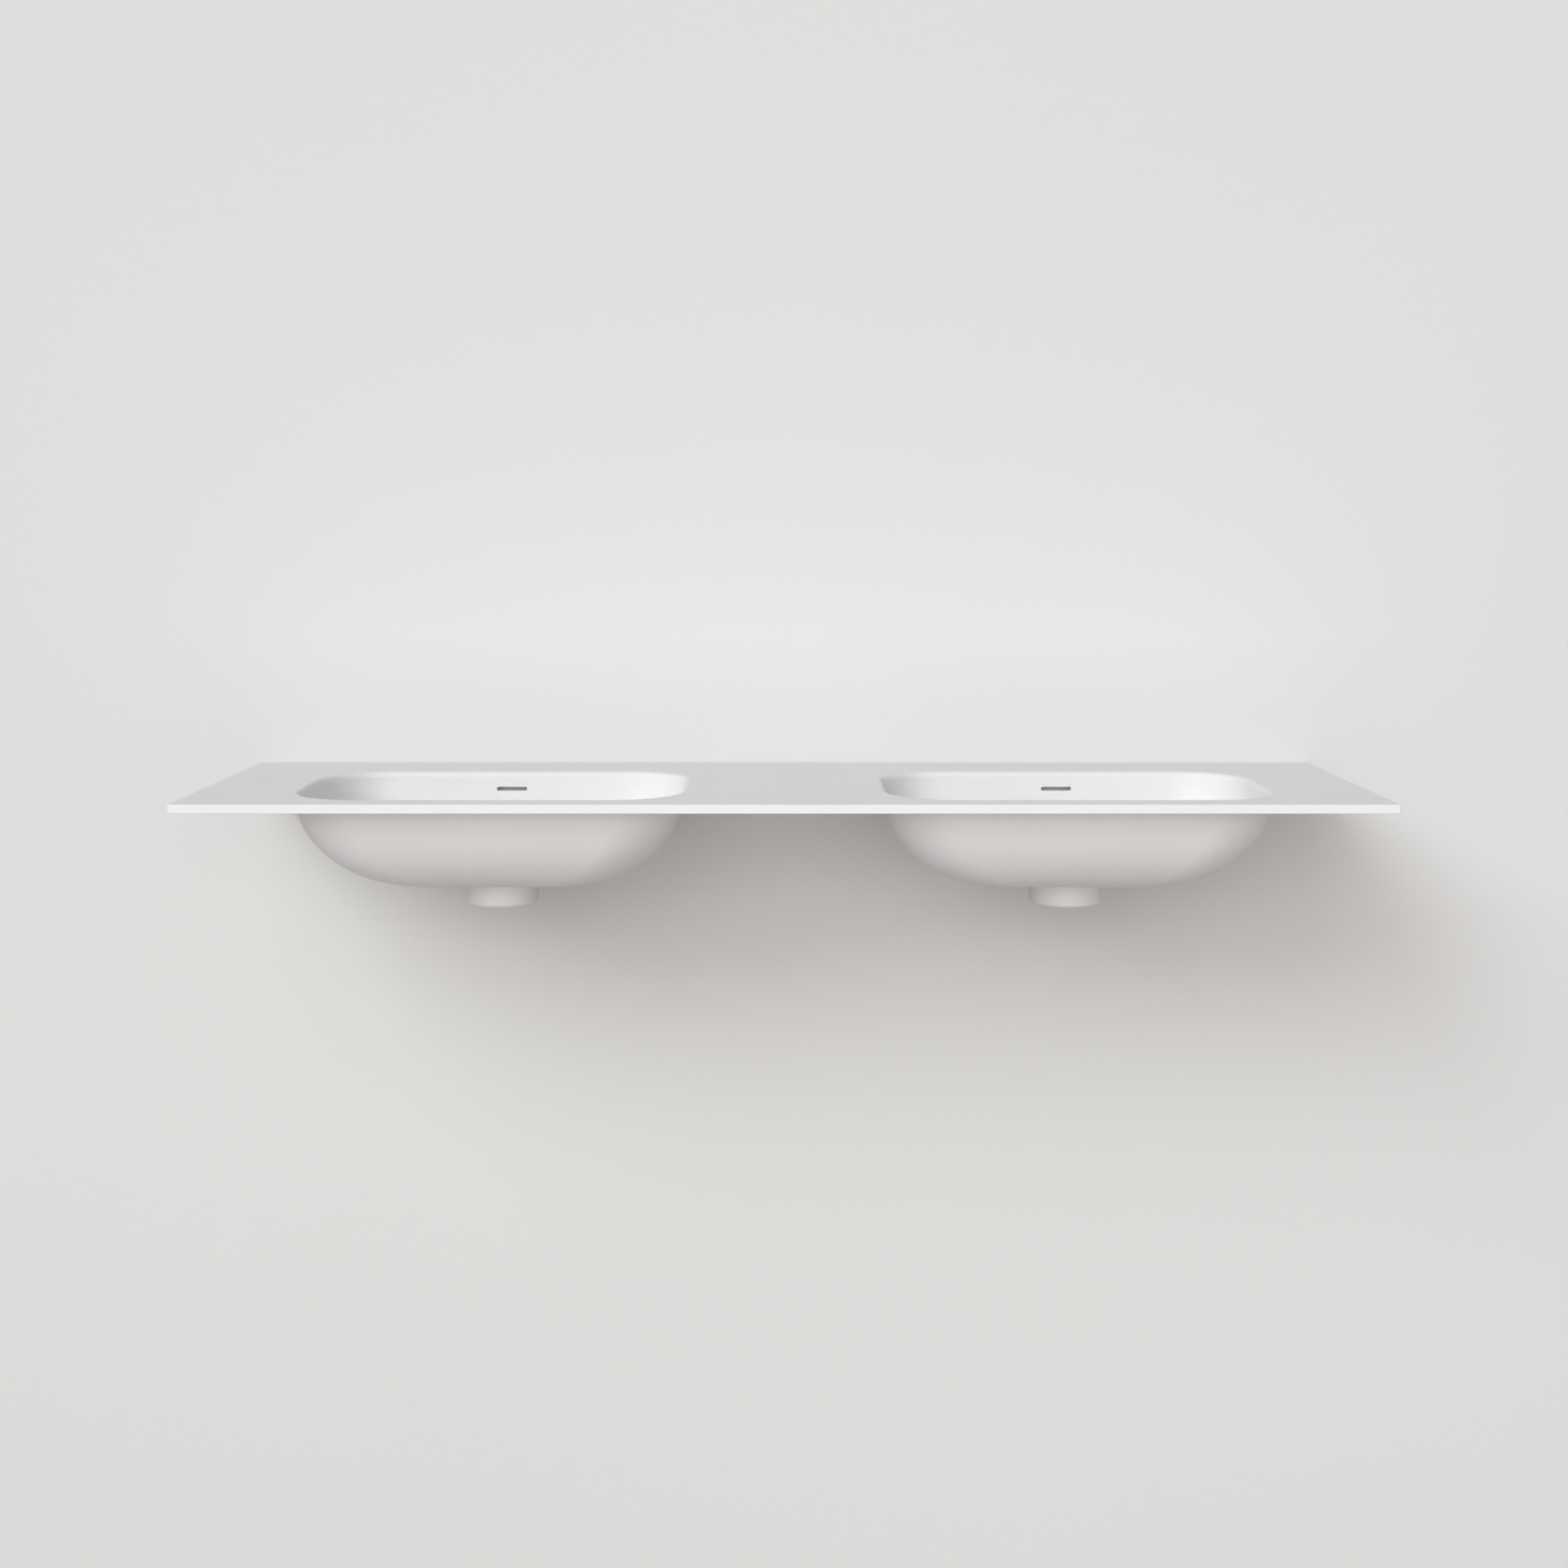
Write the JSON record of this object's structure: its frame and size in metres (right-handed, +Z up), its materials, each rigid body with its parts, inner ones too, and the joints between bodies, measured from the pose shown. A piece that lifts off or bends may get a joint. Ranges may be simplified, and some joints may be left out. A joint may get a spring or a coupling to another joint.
{
  "type": "vanity sink top",
  "caption": "Thin matte white wall-hung vanity top with rounded rectangular basins formed under it, overflow slots, drain bosses, pop-up plugs and wall brackets.",
  "frame": {"origin": "middle of the sheet's back edge face, at the wall, at half the sheet's thickness", "axes": "+X to the right seen from the front, +Y into the wall, +Z up"},
  "size_m": [1.6, 0.46, 0.1725],
  "materials": {
    "solid_surface": "matte",
    "chrome": "polished",
    "brass": "satin",
    "seal_rubber": "matte",
    "guide_plastic": "satin",
    "steel": "satin",
    "bracket_paint": "satin"
  },
  "bodies": {
    "top": {"countertop_slab": "solid_surface", "left_basin_bowl": "solid_surface", "left_drain_boss": "solid_surface", "left_overflow_duct": "solid_surface", "left_waste_body": "chrome", "left_flange_seal": "seal_rubber", "left_clamp_washer": "seal_rubber", "left_clamp_nut": "brass", "left_plug_cartridge": "guide_plastic", "left_plug_spring": "steel", "right_basin_bowl": "solid_surface", "right_drain_boss": "solid_surface", "right_overflow_duct": "solid_surface", "right_waste_body": "chrome", "right_flange_seal": "seal_rubber", "right_clamp_washer": "seal_rubber", "right_clamp_nut": "brass", "right_plug_cartridge": "guide_plastic", "right_plug_spring": "steel", "left_wall_bracket": "bracket_paint", "centre_wall_bracket": "bracket_paint", "right_wall_bracket": "bracket_paint", "bracket_screws": "steel", "threaded_inserts": "brass"},
    "left_plug": {"left_plug_cap": "chrome", "left_plug_seal": "seal_rubber", "left_plug_stem": "steel"},
    "right_plug": {"right_plug_cap": "chrome", "right_plug_seal": "seal_rubber", "right_plug_stem": "steel"}
  },
  "joints": [
    {"name": "left_plug_slide", "type": "slide", "parent": "top", "child": "left_plug", "axis": [0, 0, 1], "range_m": [0, 0.009], "deforming": ["left_plug_spring"]},
    {"name": "right_plug_slide", "type": "slide", "parent": "top", "child": "right_plug", "axis": [0, 0, 1], "range_m": [0, 0.009], "deforming": ["right_plug_spring"]}
  ]
}
